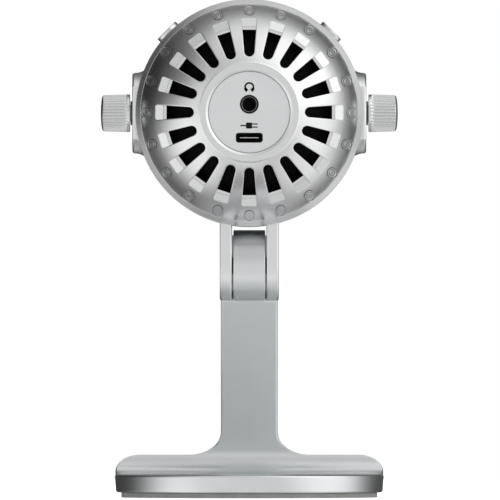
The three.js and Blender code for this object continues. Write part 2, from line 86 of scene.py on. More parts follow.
def arc(centre_a, centre_b, radius, start, stop, steps):
    """Points of an arc, with its angles in degrees."""
    angles = [math.radians(start + (stop - start) * i / steps) for i in range(steps + 1)]
    return [(centre_a + radius * math.cos(t), centre_b + radius * math.sin(t)) for t in angles]


def between(start, stop, steps):
    """Evenly spaced points from start to stop."""
    return [tuple(Vector(start).lerp(Vector(stop), i / steps)) for i in range(steps + 1)]


def slab(outline, low, high, edge, edge_steps=3):
    """A plate of that flat outline from z = low to z = high, with every sharp edge rounded to that radius."""
    bm = bmesh.new()
    rims = [[bm.verts.new((a, b, z)) for a, b in outline] for z in (low, high)]
    bm.faces.new(reversed(rims[0]))
    bm.faces.new(rims[1])
    for i in range(len(outline)):
        j = (i + 1) % len(outline)
        bm.faces.new((rims[0][i], rims[0][j], rims[1][j], rims[1][i]))
    bmesh.ops.recalc_face_normals(bm, faces=bm.faces)
    sharp = [e for e in bm.edges if e.calc_face_angle(0) > math.radians(32)]
    bmesh.ops.bevel(bm, geom=sharp, offset=edge, segments=edge_steps, profile=0.5, affect="EDGES",
                    clamp_overlap=True)
    return bm


def make_piece(bm, name, body, finish, replaced=(), sharp_from=38):
    """Turns the mesh into a named object that rides on a body and stands for the CAD nodes it replaces."""
    mesh = bpy.data.meshes.new(name)
    bm.to_mesh(mesh)
    bm.free()
    mesh.polygons.foreach_set("use_smooth", [True] * len(mesh.polygons))
    mesh.set_sharp_from_angle(angle=math.radians(sharp_from))
    mesh.materials.append(finish)
    piece = bpy.data.objects.new(name, mesh)
    bpy.context.scene.collection.objects.link(piece)
    piece.modifiers.new("even shading", "WEIGHTED_NORMAL").keep_sharp = True
    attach(piece, body)
    if replaced:
        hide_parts(*replaced)
    return piece


def join_solids(bm, tool, how):
    """Unites, cuts or intersects two closed meshes and returns the result."""
    holders = []
    for part in (bm, tool):
        mesh = bpy.data.meshes.new("blank")
        part.to_mesh(mesh)
        part.free()
        holders.append(bpy.data.objects.new("blank", mesh))
        bpy.context.scene.collection.objects.link(holders[-1])
    change = holders[0].modifiers.new("join", "BOOLEAN")
    change.operation = how
    change.solver = "EXACT"
    change.object = holders[1]
    done = bpy.data.meshes.new_from_object(holders[0].evaluated_get(bpy.context.evaluated_depsgraph_get()))
    result = bmesh.new()
    result.from_mesh(done)
    for holder in holders:
        bpy.data.objects.remove(holder)
    bmesh.ops.remove_doubles(result, verts=result.verts, dist=1e-6)
    return result


def rounded(corners, steps=4):
    """A closed outline from (a, b, radius) corners, each turned into an arc of its radius."""
    points = []
    for i, (a, b, radius) in enumerate(corners):
        here = Vector((a, b))
        if radius == 0:
            points.append((a, b))
            continue
        before = (Vector(corners[i - 1][:2]) - here).normalized()
        after = (Vector(corners[(i + 1) % len(corners)][:2]) - here).normalized()
        half = before.angle(after) / 2
        centre = here + (before + after).normalized() * radius / math.sin(half)
        first = here + before * radius / math.tan(half)
        last = here + after * radius / math.tan(half)
        for step in range(steps + 1):
            spoke = (first - centre).lerp(last - centre, step / steps).normalized() * radius
            points.append(tuple(centre + spoke))
    return points


def turned(outline, steps):
    """Spins a closed outline of (radius, along) points about the local Y axis, as a lathe does."""
    bm = bmesh.new()
    rings = []
    for radius, along in outline:
        if radius < 1e-7:
            rings.append([bm.verts.new((0, along, 0))] * steps)
            continue
        angles = [2 * math.pi * i / steps for i in range(steps)]
        rings.append([bm.verts.new((radius * math.cos(t), along, radius * math.sin(t))) for t in angles])
    for near, far in zip(rings, rings[1:] + rings[:1]):
        for i in range(steps):
            j = (i + 1) % steps
            corners = list(dict.fromkeys((near[i], near[j], far[j], far[i])))
            if len(corners) > 2:
                bm.faces.new(corners)
    bmesh.ops.recalc_face_normals(bm, faces=bm.faces)
    return bm


ALONG_X = Matrix.Rotation(math.radians(-90), 4, "Z")


def at(place, bm, turn=Matrix.Identity(4)):
    """Moves a mesh, turned first, to a place in the frame."""
    bm.transform(Matrix.Translation(place) @ turn)
    return bm


def plate_outline():
    half = [(0, 0)]
    half += arc(0, PLATE_HALF, PLATE_HALF, -89, 0, 44)
    half += arc(PLATE_HALF - SHOULDER_CORNER, SHOULDER_AT - SHOULDER_CORNER, SHOULDER_CORNER, 0, 90, 10)
    fillet_at = ARM_HALF + ROOT_FILLET
    half += arc(fillet_at, SHOULDER_AT + ROOT_FILLET, ROOT_FILLET, -90, -180, 12)
    half += [(ARM_HALF, HINGE_AT - ARM_STOP), (KNUCKLE_HALF, HINGE_AT - ARM_STOP), (KNUCKLE_HALF, HINGE_AT)]
    return half + [(-across, along) for across, along in reversed(half[1:])]


def draw_in(co):
    """Leans the edge of the foot in a little towards its under side, as the cutter left it."""
    spoke = Vector((co.x, min(co.y - PLATE_HALF, 0), 0))
    share = min(max((SHOULDER_AT - SHOULDER_CORNER - co.y) / (12 * MM), 0), 1) * (0.5 - co.z / PLATE_THICK)
    return co - spoke.normalized() * EDGE_DRAFT * share if spoke.length > PLATE_HALF / 2 else co


def bend_plate(co):
    """Takes a point of the flat plate (across, along, through) to its place in the bent one."""
    across, along, through = co
    rising = min(max((along - FOOT_LENGTH) / (BEND_MID * math.pi / 2), 0), 1)
    falling = min(max((FILLET_END - along) / (15 * MM), 0), 1)
    along -= (PLATE_THICK / 2 - through) * math.tan(ARM_LEAN) * rising * falling
    past = along - FOOT_LENGTH
    if past <= 0:
        return Vector((across, STAND_LOW.y + along, PAD_THICK + PLATE_THICK / 2 + through))
    angle = min(past / BEND_MID, math.pi / 2 + ARM_LEAN)
    straight = past - angle * BEND_MID
    out = Vector((0, math.sin(angle), -math.cos(angle)))
    onward = Vector((0, math.cos(angle), math.sin(angle)))
    centre = Vector((across, BEND_Y, BEND_Z))
    return centre + out * (BEND_MID - through) + onward * straight


stand = slab(plate_outline(), -PLATE_THICK / 2, PLATE_THICK / 2, 0.75 * MM)
BEND_CUTS = 40
for cut in range(BEND_CUTS + 1):
    along = FOOT_LENGTH + BEND_MID * (math.pi / 2 + ARM_LEAN) * cut / BEND_CUTS
    everything = stand.verts[:] + stand.edges[:] + stand.faces[:]
    bmesh.ops.bisect_plane(stand, geom=everything, plane_co=(0, along, 0), plane_no=(0, 1, 0), dist=1e-7)
for vert in stand.verts:
    vert.co = bend_plate(draw_in(vert.co))
knuckle_corners = [(0, -KNUCKLE_HALF, 0), (KNUCKLE_RADIUS, -KNUCKLE_HALF, 0.4 * MM),
                   (KNUCKLE_RADIUS, KNUCKLE_HALF, 0.4 * MM), (0, KNUCKLE_HALF, 0)]
knuckle = at(HINGE, turned(rounded(knuckle_corners), 128), ALONG_X)
stand = join_solids(stand, knuckle, "UNION")


def add_node(tree, kind, **inputs):
    """Adds a node. An input is named, or i0, i1 by order, and takes a value or another node's output."""
    made = tree.nodes.new(kind)
    for key, value in inputs.items():
        socket = made.inputs[int(key[1:]) if key[1:].isdigit() else key.replace("_", " ")]
        if isinstance(value, bpy.types.NodeSocket):
            tree.links.new(value, socket)
        else:
            socket.default_value = value
    return made


def maths(tree, operation, *values):
    made = add_node(tree, "ShaderNodeMath", **{f"i{k}": value for k, value in enumerate(values)})
    made.operation = operation
    return made.outputs["Value"]


class Coat:
    """A node material with a Principled shader, and the few kinds of variation that the finishes share."""

    def __init__(self, name):
        self.material = bpy.data.materials.new(name)
        self.material.use_nodes = True
        self.tree = self.material.node_tree
        self.sockets = self.tree.nodes["Principled BSDF"].inputs
        self.place = self.node("ShaderNodeTexCoord").outputs["Object"]

    def node(self, kind, **inputs):
        return add_node(self.tree, kind, **inputs)

    def noise(self, scale, detail, **more):
        made = self.node("ShaderNodeTexNoise", Vector=self.place, Scale=scale, Detail=detail, **more)
        return made.outputs["Fac"]

    def tint(self, factor, dark, light):
        """Colours the material between two tones, dark where the factor is 0."""
        ramp = self.node("ShaderNodeValToRGB", Fac=factor)
        ramp.color_ramp.elements[0].color = (*dark, 1)
        ramp.color_ramp.elements[1].color = (*[min(1, c) for c in light], 1)
        self.tree.links.new(ramp.outputs["Color"], self.sockets["Base Color"])

    def vary_gloss(self, factor, low, high):
        gloss = self.node("ShaderNodeMapRange", Value=factor, To_Min=low, To_Max=high)
        self.tree.links.new(gloss.outputs["Result"], self.sockets["Roughness"])

    def raise_grain(self, height, strength, depth):
        bump = self.node("ShaderNodeBump", Height=height, Strength=strength, Distance=depth)
        self.tree.links.new(bump.outputs["Normal"], self.sockets["Normal"])

    def finish(self, **plain):
        """Sets the plain numbers of the shader, such as Metallic, and gives the material."""
        for key, value in plain.items():
            self.sockets[key.replace("_", " ")].default_value = value
        return self.material


def toned(tone, share):
    return [c * share for c in tone]


def blasted_metal(name, tone, rough, grain=0.05, patch=0.03):
    """Bead-blasted, anodised aluminium: a fine even grain, slight cloudiness, and soft broad reflections."""
    coat = Coat(name)
    fine = coat.noise(5200.0, 2.0, Roughness=0.6)
    coat.tint(coat.noise(90.0, 3.0), toned(tone, 1 - patch), toned(tone, 1 + patch))
    coat.vary_gloss(fine, rough - grain, rough + grain)
    coat.raise_grain(fine, 0.12, 0.04 * MM)
    return coat.finish(Metallic=1.0)


make_piece(stand, "stand_plate", "stand",
           blasted_metal("satin plate", (0.79, 0.808, 0.815), 0.33), ["stand_frame"])


# ---------------------------------------- foot pad
# A rubber pad cut to the outline of the foot, a little smaller all round, and glued under it so that the
# stand grips the desk.

PAD_LOW, PAD_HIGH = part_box("foot_pad")
PAD_HALF = PAD_HIGH.x
PAD_CORNER = 5 * MM


def pad_outline():
    right = [(0, PAD_LOW.y)] + arc(0, 0, PAD_HALF, -89, 0, 44)
    right += arc(PAD_HALF - PAD_CORNER, PAD_HIGH.y - PAD_CORNER, PAD_CORNER, 0, 90, 8)
    return right + [(-x, y) for x, y in reversed(right[1:])]


def soft_rubber(name, tone, rough=0.75):
    """Moulded rubber: matt, with a faint pebbled skin and a little dust in its colour."""
    coat = Coat(name)
    coat.tint(coat.noise(160.0, 4.0), toned(tone, 0.8), toned(tone, 1.2))
    coat.raise_grain(coat.noise(2400.0, 3.0), 0.4, 0.08 * MM)
    return coat.finish(Roughness=rough)


make_piece(slab(pad_outline(), 0, PAD_THICK, 0.35 * MM), "foot_pad_rubber", "stand",
           soft_rubber("foot rubber", (0.22, 0.225, 0.22)), ["foot_pad"])


# ---------------------------------------- hinge
# A socket-head bolt through both ears and a bronze sleeve in the knuckle, drawn up on nylon friction washers
# by a nut on a spring washer. A turned aluminium cap closes the pocket on the outside of each ear.

EAR_INNER = 6.05 * MM
EAR_OUTER = 10.35 * MM


def turned_metal(name, tone, rough, pitch=0.22 * MM):
    """Metal straight from the lathe: fine rings about its own axis catch the light."""
    coat = Coat(name)
    rings = coat.node("ShaderNodeTexWave", Vector=coat.place, Scale=0.16 / pitch, Distortion=1.2, Detail=2.0,
                      Detail_Scale=2.0)
    coat.tint(coat.noise(3000.0, 2.0), toned(tone, 0.93), toned(tone, 1.05))
    coat.vary_gloss(rings.outputs["Fac"], rough - 0.05, rough + 0.06)
    coat.raise_grain(rings.outputs["Fac"], 0.08, 0.03 * MM)
    return coat.finish(Metallic=1.0)


plated_steel = turned_metal("plated steel", (0.56, 0.57, 0.58), 0.3)
CAP_RADIUS = 5.15 * MM
CAP_THICK = 0.85 * MM
cap_corners = [(0, 0, 0), (CAP_RADIUS, 0, 0), (CAP_RADIUS, CAP_THICK, 0.25 * MM),
               (3.4 * MM, CAP_THICK, 0.1 * MM), (3.1 * MM, 0.6 * MM, 0.1 * MM), (0, 0.6 * MM, 0)]
cap_metal = turned_metal("turned hinge cap", (0.8, 0.81, 0.81), 0.25)
for side, sign in (("left", -1), ("right", 1)):
    cap = turned(rounded(cap_corners), 72)
    outward = Matrix.Rotation(math.radians(-90 * sign), 4, "Z")
    at(HINGE + Vector((sign * (EAR_OUTER - CAP_THICK), 0, 0)), cap, outward)
    make_piece(cap, f"hinge_cap_{side}_turned", "head", cap_metal, [f"hinge_cap_{side}"])


# ---------------------------------------- body band
# The head's waist: a turned aluminium ring with a flared boss for each knob and, at the bottom, two flat ears
# that hold the hinge. Boss and ears are milled from the same blank, so there is no seam between them.

HEAD = Vector((0, 0, (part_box("rear_dome")[0].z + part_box("rear_dome")[1].z) / 2))
DROP = HEAD.z - HINGE.z
BAND_RADIUS = 39.6 * MM
BAND_INNER = 36.6 * MM
BAND_HALF = 12.4 * MM
BOSS_FACE = 41.1 * MM
BOSS_CHEEK = 10.7 * MM
BOSS_RADIUS = 14.15 * MM
BOSS_EDGE = 0.9 * MM
BOSS_FLARE_LONG = 6 * MM
BOSS_ROOT = 33.5 * MM
ROUND_STEPS = 240

band_corners = [(BAND_INNER, -BAND_HALF, 0), (BAND_RADIUS, -BAND_HALF, 0.5 * MM),
                (BAND_RADIUS, BAND_HALF, 0.5 * MM), (BAND_INNER, BAND_HALF, 0)]
band = turned(rounded(band_corners), ROUND_STEPS)


def boss_blank(sign):
    """A round pad that flares in a hollow curve to the band, with a flat cheek front and back."""
    hollow = []
    for depth in between((BOSS_EDGE, 0), (BOSS_EDGE + BOSS_FLARE_LONG, 0), 12):
        flare = 0.1 * MM * ((depth[0] - BOSS_EDGE) / MM) ** 1.9
        hollow.append((BOSS_RADIUS + flare, BOSS_FACE - depth[0]))
    outline = [(0, BOSS_FACE)] + arc(BOSS_RADIUS - BOSS_EDGE, BOSS_FACE - BOSS_EDGE, BOSS_EDGE, 90, 0, 6)
    outline += hollow[1:] + [(hollow[-1][0], BOSS_ROOT), (0, BOSS_ROOT)]
    bm = turned(outline, 160)
    bm.transform(Matrix.Rotation(math.radians(-90 * sign), 4, "Z"))
    for cheek in (-1, 1):
        for turn in (90, 72, 54, 36, 18):
            away = Vector((sign * math.cos(math.radians(turn)), cheek * math.sin(math.radians(turn)), 0))
            corner = Vector((sign * (BOSS_FACE - BOSS_EDGE), cheek * (BOSS_CHEEK - BOSS_EDGE), 0))
            everything = bm.verts[:] + bm.edges[:] + bm.faces[:]
            bmesh.ops.bisect_plane(bm, geom=everything, plane_co=corner + away * BOSS_EDGE, plane_no=away,
                                   clear_outer=True, dist=1e-7)
            bmesh.ops.contextual_create(bm, geom=[e for e in bm.edges if e.is_boundary])
    bmesh.ops.recalc_face_normals(bm, faces=bm.faces)
    return bm


def ear_blank(sign):
    """A flat strap that hangs from the band, with a round lower end about the hinge."""
    top = -BAND_INNER + 2 * MM
    outline = arc(0, -DROP, KNUCKLE_RADIUS, 180, 360, 48) + [(KNUCKLE_RADIUS, top), (-KNUCKLE_RADIUS, top)]
    bm = slab(outline, EAR_INNER, EAR_OUTER, 0.75 * MM, 5)
    bm.transform(Matrix(((0, 0, sign, 0), (1, 0, 0, 0), (0, 1, 0, 0), (0, 0, 0, 1))))
    bmesh.ops.recalc_face_normals(bm, faces=bm.faces)
    return bm


for sign in (-1, 1):
    band = join_solids(band, boss_blank(sign), "UNION")
    band = join_solids(band, ear_blank(sign), "UNION")
bore = [(0, -0.02), (BAND_INNER, -0.02), (BAND_INNER, 0.02), (0, 0.02)]
band = join_solids(band, turned(bore, ROUND_STEPS), "DIFFERENCE")


def drill(bm, radius, start, stop, turn, place=(0, 0, 0), steps=64):
    """Cuts a round hole from start to stop along the local X axis, after a turn about the head's centre."""
    tool = turned([(0, start), (radius, start), (radius, stop), (0, stop)], steps)
    tool.transform(Matrix.Translation(place) @ turn @ ALONG_X)
    bmesh.ops.recalc_face_normals(tool, faces=tool.faces)
    return join_solids(bm, tool, "DIFFERENCE")


BUTTON_ANGLES = {"left": -135, "right": -45}
BUTTON_TURNS = {side: Matrix.Rotation(math.radians(angle), 4, "Y") for side, angle in BUTTON_ANGLES.items()}
STRAIGHT = Matrix.Identity(4)
SHAFT_BORE = 4.4 * MM
BUTTON_BORE = 4.65 * MM
BOLT_BORE = 3.15 * MM
POCKET_RADIUS = 5.3 * MM
POCKET_FLOOR = 7.75 * MM
band = drill(band, SHAFT_BORE, -0.06, 0.06, STRAIGHT)
for turn in BUTTON_TURNS.values():
    band = drill(band, BUTTON_BORE, 0.03, 0.05, turn)
hinge_line = Vector((0, 0, -DROP))
band = drill(band, BOLT_BORE, -0.02, 0.02, STRAIGHT, hinge_line)
for low, high in ((POCKET_FLOOR, 0.02), (-0.02, -POCKET_FLOOR)):
    band = drill(band, POCKET_RADIUS, low, high, STRAIGHT, hinge_line)
make_piece(at(HEAD, band), "body_band_milled", "head",
           blasted_metal("satin band", (0.85, 0.86, 0.865), 0.32), ["body_band"], 28)


# ---------------------------------------- rear dome
# A thick aluminium dome with twenty slots that let the rear of the capsule breathe, and a sloping flange. The
# slots are milled along the dome's axis. A step is left at the outer end of each, cut to a gentler slope.

DOME_RADIUS = 40.4 * MM
DOME_CENTRE = -1.2 * MM
DOME_WALL = 4.8 * MM
DOME_BLEND = 37.3 * MM
DOME_EDGE = 38.15 * MM
EDGE_SLOPE = 1.3
FLANGE_RADIUS = 39.9 * MM
SEAM_Y = -BAND_HALF - 0.2 * MM
HUB_RADIUS = 17.5 * MM
PLATE_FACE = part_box("port_plate")[0].y
SLOTS = 20
SLOT_INNER = 19.5 * MM
SLOT_OUTER = 32.75 * MM
SLOT_INNER_HALF = 1.76 * MM
SLOT_OUTER_HALF = 2.66 * MM
SLOT_CORNER = 0.6 * MM
SLOT_STEPS = (12, 16, 12, 16)
BORE_STEPS = (12, 6, 12, 6)
MID_RING = 33.6 * MM
EDGE_BREAK = 0.3 * MM
PIN_RING = 36.05 * MM
BORE_RADIUS = 1.9 * MM
BORE_SLOPE = math.tan(math.radians(61))


def skin(across, up=0.0):
    """The height along Y of the dome's outer surface, which curves into the flange's edge."""
    off = math.hypot(across, up)
    start = min(off, DOME_BLEND)
    height = DOME_CENTRE - math.sqrt(DOME_RADIUS**2 - start**2)
    past = off - start
    slope = start / math.sqrt(DOME_RADIUS**2 - start**2)
    return height + slope * past + (EDGE_SLOPE - slope) / (DOME_EDGE - DOME_BLEND) * past**2 / 2


def under(off):
    """The height of the dome's inner surface."""
    return DOME_CENTRE - math.sqrt((DOME_RADIUS - DOME_WALL) ** 2 - off**2)


def lay(flat, sunk=0.0):
    """A point of the outer surface, or one that far beneath it along the axis."""
    return Vector((flat[0], skin(*flat) + sunk, flat[1]))


def slot_outline(grow):
    """The slot's edge, moved outwards by grow. It runs from the inner round end to the squared outer end."""
    centre = SLOT_INNER + SLOT_INNER_HALF
    taper = math.atan((SLOT_OUTER_HALF - SLOT_INNER_HALF) / (SLOT_OUTER - centre))
    inner = SLOT_INNER_HALF + grow
    corner = SLOT_CORNER + grow
    corner_x = SLOT_OUTER - SLOT_CORNER
    corner_y = (SLOT_INNER_HALF - SLOT_CORNER) / math.cos(taper) + (corner_x - centre) * math.tan(taper)
    lean = math.degrees(taper)
    round_end = arc(centre, 0, inner, 270 - lean, 90 + lean, SLOT_STEPS[0])
    bend = SLOT_STEPS[2] // 4
    upper = arc(corner_x, corner_y, corner, 90 + lean, 0, bend)
    lower = arc(corner_x, -corner_y, corner, 0, -90 - lean, bend)
    side_up = between(round_end[-1], upper[0], SLOT_STEPS[1])
    end = between(upper[-1], lower[0], SLOT_STEPS[2] - 2 * bend)
    side_down = between(lower[-1], round_end[0], SLOT_STEPS[3])
    return round_end[:-1] + side_up[:-1] + upper[:-1] + end[:-1] + lower[:-1] + side_down[:-1]


def sector_outline(inner, outer, steps):
    """The edge of one slot's share of the dome, between two circles, in the order of slot_outline."""
    half = 180 / SLOTS
    low = arc(0, 0, inner, -half, half, steps[0])
    high = arc(0, 0, outer, half, -half, steps[2])
    up = between(low[-1], high[0], steps[1])
    down = between(high[-1], low[0], steps[3])
    return low[:-1] + up[:-1] + high[:-1] + down[:-1]


def stitch(bm, loops, closed_end=None):
    """Joins loops of equal length with quads, and closes the last with a fan about the given point."""
    rows = [[bm.verts.new(co) for co in loop] for loop in loops]
    for near, far in zip(rows, rows[1:]):
        for i in range(len(near)):
            j = (i + 1) % len(near)
            bm.faces.new((near[i], near[j], far[j], far[i]))
    if closed_end is not None:
        tip = bm.verts.new(closed_end)
        for i in range(len(rows[-1])):
            bm.faces.new((rows[-1][i], rows[-1][(i + 1) % len(rows[-1])], tip))


def rings_between(outer_loop, inner_loop, count):
    return [[tuple(Vector(a).lerp(Vector(b), k / count)) for a, b in zip(outer_loop, inner_loop)]
            for k in range(count + 1)]


def slot_sector(bm):
    """One slot and the wall round it, outside and inside."""
    outside = sector_outline(HUB_RADIUS, MID_RING, SLOT_STEPS)
    loops = [[lay(p) for p in ring] for ring in rings_between(outside, slot_outline(EDGE_BREAK), 5)]
    for step in range(1, 5):
        turn = math.radians(90 * step / 4)
        grow = EDGE_BREAK * (1 - math.sin(turn))
        loops.append([lay(p, EDGE_BREAK * (1 - math.cos(turn))) for p in slot_outline(grow)])
    loops += [[Vector((a, under(math.hypot(a, b)), b)) for a, b in ring]
              for ring in rings_between(slot_outline(0), outside, 3)]
    stitch(bm, loops)


STEP_SLOPE = math.tan(math.radians(27))
STEP_INNER = 28.9 * MM
STEP_FLAT = 30.05 * MM
STEP_OUTER = SLOT_OUTER + 0.12 * MM


def step_block(bm):
    """The step at the slot's outer end: a gentle slope, a small drop, and a flat strip before the opening."""
    top = skin(SLOT_OUTER) + 0.3 * MM
    low = top - (SLOT_OUTER - STEP_FLAT) * STEP_SLOPE
    section = [(STEP_OUTER, top + 0.12 * MM * STEP_SLOPE), (STEP_FLAT + 0.06 * MM, low),
               (STEP_FLAT, low + 0.04 * MM), (STEP_FLAT - 0.06 * MM, low + 0.16 * MM),
               (STEP_INNER + 0.1 * MM, low + 0.16 * MM), (STEP_INNER, low + 0.26 * MM),
               (STEP_INNER, under(STEP_INNER)), (STEP_OUTER, under(STEP_OUTER))]
    taper = (SLOT_OUTER_HALF - SLOT_INNER_HALF) / (SLOT_OUTER - SLOT_INNER - SLOT_INNER_HALF)
    sides = []
    for side in (-1, 1):
        half = [side * (SLOT_OUTER_HALF + 0.1 * MM - (SLOT_OUTER - r) * taper) for r, _ in section]
        sides.append([bm.verts.new((r, y, w)) for (r, y), w in zip(section, half)])
    for i in range(len(section)):
        j = (i + 1) % len(section)
        bm.faces.new((sides[0][i], sides[0][j], sides[1][j], sides[1][i]))
    bm.faces.new(sides[0])
    bm.faces.new(reversed(sides[1]))


def bore_circle(radius, angles=None):
    angles = angles or [2 * math.pi * i / 48 for i in range(48)]
    return [(PIN_RING + radius * math.cos(t), radius * math.sin(t)) for t in angles]


def bore_plane(flat, sunk=0.0):
    """The sloping plane of a pin's end, level with the dome at the middle of the bore."""
    return Vector((flat[0], skin(PIN_RING) + (flat[0] - PIN_RING) * BORE_SLOPE + sunk, flat[1]))


def pin_sector(bm):
    """The bore outside one slot, with a floor that keeps below the falling surface of the dome."""
    outside = sector_outline(MID_RING, DOME_EDGE, BORE_STEPS)
    angles = [math.atan2(p[1], p[0] - PIN_RING) for p in outside]
    rim = bore_circle(BORE_RADIUS + 0.14 * MM, angles)
    loops = [[lay(p) for p in ring] for ring in rings_between(outside, rim, 4)]
    loops.append([lay(p, 0.06 * MM) for p in bore_circle(BORE_RADIUS + 0.04 * MM, angles)])
    loops.append([lay(p, 0.22 * MM) for p in bore_circle(BORE_RADIUS, angles)])
    loops.append([bore_plane(p, 1.0 * MM) for p in bore_circle(BORE_RADIUS, angles)])
    stitch(bm, loops, closed_end=bore_plane((PIN_RING, 0), 1.0 * MM))


def band_of_rings(bm, profile, steps):
    """An open profile of (radius, y) points, turned about the head's axis."""
    angles = [2 * math.pi * i / steps + math.pi / SLOTS for i in range(steps)]
    stitch(bm, [[(r * math.cos(t), y, r * math.sin(t)) for t in angles] for r, y in profile])


def hub_profile():
    """From the dome's outer surface over the collar and down its bore to the dome's inner surface."""
    ring = skin(HUB_RADIUS) - 0.15 * MM
    return rounded([(HUB_RADIUS, skin(HUB_RADIUS), 0), (17.35 * MM, ring, 0.1 * MM),
                    (15.3 * MM, ring, 0.3 * MM), (14.45 * MM, ring + 0.46 * MM, 0.15 * MM),
                    (14.3 * MM, PLATE_FACE - 0.05 * MM, 0),
                    (14.3 * MM, PLATE_FACE + 1.6 * MM, 0), (12.4 * MM, PLATE_FACE + 1.6 * MM, 0),
                    (12.4 * MM, under(12.4 * MM), 0), (HUB_RADIUS, under(HUB_RADIUS), 0)])


def rim_profile():
    """From the dome's outer surface down the sloping flange, across the seam and back along the inside."""
    seam_inner = math.sqrt((DOME_RADIUS - DOME_WALL) ** 2 - (DOME_CENTRE - SEAM_Y) ** 2)
    return rounded([(DOME_EDGE, skin(DOME_EDGE), 0), (DOME_EDGE + 0.08 * MM, skin(DOME_EDGE) + 0.02 * MM, 0),
                    (FLANGE_RADIUS, SEAM_Y - 0.3 * MM, 0.2 * MM), (FLANGE_RADIUS, SEAM_Y, 0),
                    (MID_RING, SEAM_Y, 0), (seam_inner, SEAM_Y, 0), (MID_RING, under(MID_RING), 0)])


SLOT_TURNS = [Matrix.Rotation(-2 * math.pi * i / SLOTS, 4, "Y") for i in range(SLOTS)]


def add_copies(bm, part, places=(Matrix.Identity(4),)):
    """Adds the part to a mesh once at each place, and uses it up."""
    mesh = bpy.data.meshes.new("part")
    part.to_mesh(mesh)
    part.free()
    for place in places:
        placed = mesh.copy()
        placed.transform(place)
        bm.from_mesh(placed)


dome = bmesh.new()
sector = bmesh.new()
slot_sector(sector)
pin_sector(sector)
step_block(sector)
bmesh.ops.recalc_face_normals(sector, faces=sector.faces)
add_copies(dome, sector, SLOT_TURNS)
band_of_rings(dome, hub_profile(), SLOTS * SLOT_STEPS[0])
band_of_rings(dome, rim_profile(), SLOTS * SLOT_STEPS[0])
bmesh.ops.remove_doubles(dome, verts=dome.verts, dist=2e-6)
bmesh.ops.recalc_face_normals(dome, faces=dome.faces)
make_piece(at(HEAD, dome), "rear_dome_slotted", "head",
           blasted_metal("satin dome", (0.82, 0.825, 0.83), 0.27), ["rear_dome"], 24)


# ---------------------------------------- rim pins
# Twenty short pins pressed into the bores by the rim, their ends turned with a ring and a centre mark and cut
# to the slope of the dome.

PIN_LOOPS = ((1.74, 0.8), (1.74, 0.3), (1.68, 0.1), (1.56, 0.02), (1.3, 0.0), (1.18, 0.05), (1.05, 0.17),
             (0.92, 0.17), (0.8, 0.05), (0.6, 0.0), (0.4, 0.03), (0.2, 0.1))
one_pin = bmesh.new()
stitch(one_pin, [[bore_plane(p, sunk * MM) for p in bore_circle(radius * MM)] for radius, sunk in PIN_LOOPS],
       closed_end=bore_plane((PIN_RING, 0), 0.12 * MM))
bmesh.ops.recalc_face_normals(one_pin, faces=one_pin.faces)
pins = bmesh.new()
add_copies(pins, one_pin, SLOT_TURNS)
make_piece(at(HEAD, pins), "rim_pins", "head",
           blasted_metal("satin pin", (0.76, 0.765, 0.77), 0.3), (), 24)


# ---------------------------------------- rear mesh
# A dished ring of fine black woven mesh glued behind the slots. It keeps dust out and lets sound through.

MESH_OUTER = DOME_RADIUS - DOME_WALL - 0.35 * MM
MESH_INNER = MESH_OUTER - 0.5 * MM
GAP_BLACK = (0.001, 0.001, 0.001)


def dome_shell(outer, inner, near, far, side, steps=10):
    """A thin curved skin about the head's centre, from one radius off the axis to another."""
    outline = []
    for sphere, order in ((outer, 1), (inner, -1)):
        low, high = math.asin(near / sphere), math.asin(far / sphere)
        angles = [low + (high - low) * i / steps for i in range(steps + 1)][::order]
        outline += [(sphere * math.sin(t), side * sphere * math.cos(t)) for t in angles]
    return outline


def woven_mesh(name, tone, threads=2600.0):
    """A tight weave of fine black thread, seen as a dense grid that hardly shines."""
    coat = Coat(name)
    warp = coat.node("ShaderNodeTexWave", Vector=coat.place, Scale=threads / 6)
    weft = coat.node("ShaderNodeTexWave", Vector=coat.place, Scale=threads / 6)
    weft.bands_direction = "Z"
    grid = maths(coat.tree, "MULTIPLY", warp.outputs["Fac"], weft.outputs["Fac"])
    coat.tint(grid, GAP_BLACK, tone)
    coat.raise_grain(grid, 0.3, 0.1 * MM)
    return coat.finish(Roughness=0.9, Specular_IOR_Level=0.1)


liner = turned(dome_shell(MESH_OUTER, MESH_INNER, 15.5 * MM, 30.0 * MM, -1), 120)
make_piece(at(HEAD, liner), "rear_mesh_woven", "head",
           woven_mesh("black woven mesh", (0.012, 0.012, 0.012)), ["rear_mesh"])


# ---------------------------------------- port plate
# A stamped and painted disc that closes the middle of the dome, pierced for the two sockets. A headphone
# mark and a plain plug mark are printed on it in dark grey.

PLATE_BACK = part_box("port_plate")[1].y
PLATE_RADIUS = 14.2 * MM
JACK_UP = 2.75 * MM
USB_UP = -8.95 * MM
USB_HALF = 4.72 * MM
USB_TALL = 1.72 * MM


def pill(half_width, half_height, corner, up=0.0, steps=8):
    """A rectangle with round corners, centred at that height."""
    corners = [(-half_width, up - half_height, corner), (half_width, up - half_height, corner),
               (half_width, up + half_height, corner), (-half_width, up + half_height, corner)]
    return rounded(corners, steps)


